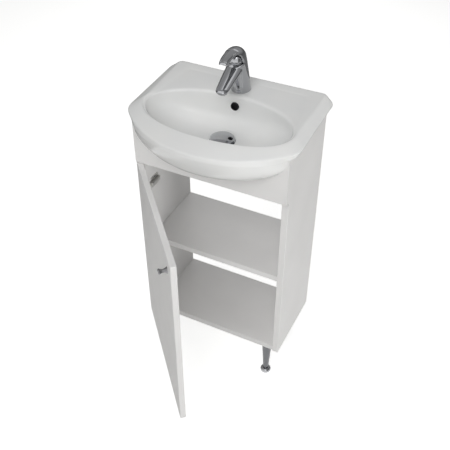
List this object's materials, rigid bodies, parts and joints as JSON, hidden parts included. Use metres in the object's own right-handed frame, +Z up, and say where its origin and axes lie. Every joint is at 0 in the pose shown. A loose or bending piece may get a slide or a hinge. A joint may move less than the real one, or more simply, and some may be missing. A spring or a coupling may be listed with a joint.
{
  "type": "bathroom vanity cabinet",
  "caption": "Small white floor-standing washbasin cabinet with an open hinged door, inner shelf, tapered metal legs, bow-fronted ceramic basin and lever mixer tap.",
  "frame": {"origin": "on the floor, in the middle of the box around the whole part with its door standing open", "axes": "+X to the right seen from the front, +Y from the front towards the wall, +Z up"},
  "size_m": [0.469, 0.5618, 0.9905],
  "materials": {
    "white_melamine_board": "chipboard faced with smooth white melamine, satin",
    "beech_dowel": "raw beech",
    "zinc_plated_steel": "bright zinc plating",
    "nickel_plated_steel": "nickel plating",
    "satin_knob_metal": "satin, darkened",
    "clear_bumper": "soft translucent buffer",
    "white_glazed_ceramic": "glossy white glaze",
    "polished_chrome": "mirror-polished chrome plating",
    "black_rubber": "matt",
    "grey_plastic": "moulded",
    "raw_brass": "machined"
  },
  "bodies": {
    "carcass": {"left_side_panel": "white_melamine_board", "right_side_panel": "white_melamine_board", "bottom_panel": "white_melamine_board", "shelf": "white_melamine_board", "rear_rail": "white_melamine_board", "front_fascia": "white_melamine_board", "carcass_dowels": "beech_dowel", "shelf_pins": "zinc_plated_steel", "fascia_brackets": "zinc_plated_steel", "fascia_screws": "zinc_plated_steel", "leg_bolts": "zinc_plated_steel", "hinge_plate_screws": "zinc_plated_steel", "washbasin": "white_glazed_ceramic", "waste_body": "polished_chrome", "waste_upper_gasket": "black_rubber", "waste_lower_gasket": "black_rubber", "waste_nut": "grey_plastic", "waste_plug_guide": "grey_plastic", "tap_body": "polished_chrome", "tap_gasket": "black_rubber", "tap_dome": "polished_chrome", "cartridge_body": "grey_plastic", "cartridge_nut": "raw_brass", "aerator_housing": "polished_chrome", "aerator_insert": "grey_plastic", "fixing_stud": "raw_brass", "fixing_gasket": "black_rubber", "fixing_washer": "zinc_plated_steel", "fixing_nut": "raw_brass", "front_left_leg": "polished_chrome", "front_right_leg": "polished_chrome", "rear_left_leg": "polished_chrome", "rear_right_leg": "polished_chrome", "upper_hinge_arm": "nickel_plated_steel", "upper_hinge_plate": "nickel_plated_steel", "lower_hinge_arm": "nickel_plated_steel", "lower_hinge_plate": "nickel_plated_steel"},
    "door": {"door_panel": "white_melamine_board", "door_knob": "satin_knob_metal", "knob_screw": "zinc_plated_steel", "door_bumpers": "clear_bumper", "hinge_cup_screws": "zinc_plated_steel", "upper_hinge_cup": "nickel_plated_steel", "lower_hinge_cup": "nickel_plated_steel", "upper_hinge_pin": "nickel_plated_steel", "lower_hinge_pin": "nickel_plated_steel"},
    "lever_rotor": {"cartridge_rotor": "grey_plastic", "cartridge_stem_pin": "zinc_plated_steel"},
    "lever": {"tap_lever": "polished_chrome", "lever_screw": "zinc_plated_steel", "cartridge_stem": "raw_brass"},
    "plug": {"waste_plug": "polished_chrome"},
    "front_left_foot": {"front_left_foot": "polished_chrome"},
    "front_right_foot": {"front_right_foot": "polished_chrome"},
    "rear_left_foot": {"rear_left_foot": "polished_chrome"},
    "rear_right_foot": {"rear_right_foot": "polished_chrome"}
  },
  "joints": [
    {"name": "door_swing", "type": "hinge", "parent": "carcass", "child": "door", "pos_m": [-0.207, 0.03594, 0.4045], "axis": [0, 0, -1], "range_deg": [-48, 47]},
    {"name": "lever_swivel", "type": "hinge", "parent": "carcass", "child": "lever_rotor", "pos_m": [0, 0.18852, 0.95891], "axis": [0, -0.3173, 0.9483], "range_deg": [-45, 45]},
    {"name": "lever_lift", "type": "hinge", "parent": "lever_rotor", "child": "lever", "pos_m": [0, 0.18852, 0.95891], "axis": [-1, 0, 0], "range_deg": [0, 20]},
    {"name": "plug_press", "type": "slide", "parent": "carcass", "child": "plug", "axis": [0, 0, -1], "range_m": [0, 0.007], "stiffness_N_per_m": 2000, "springref_m": -0.002},
    {"name": "front_left_foot_turn", "type": "hinge", "parent": "carcass", "child": "front_left_foot", "pos_m": [-0.172, 0.06694, 0.013], "axis": [0, 0, 1], "continuous": true},
    {"name": "front_right_foot_turn", "type": "hinge", "parent": "carcass", "child": "front_right_foot", "pos_m": [0.172, 0.06694, 0.013], "axis": [0, 0, 1], "continuous": true},
    {"name": "rear_left_foot_turn", "type": "hinge", "parent": "carcass", "child": "rear_left_foot", "pos_m": [-0.162, 0.26094, 0.013], "axis": [0, 0, 1], "continuous": true},
    {"name": "rear_right_foot_turn", "type": "hinge", "parent": "carcass", "child": "rear_right_foot", "pos_m": [0.162, 0.26094, 0.013], "axis": [0, 0, 1], "continuous": true}
  ]
}
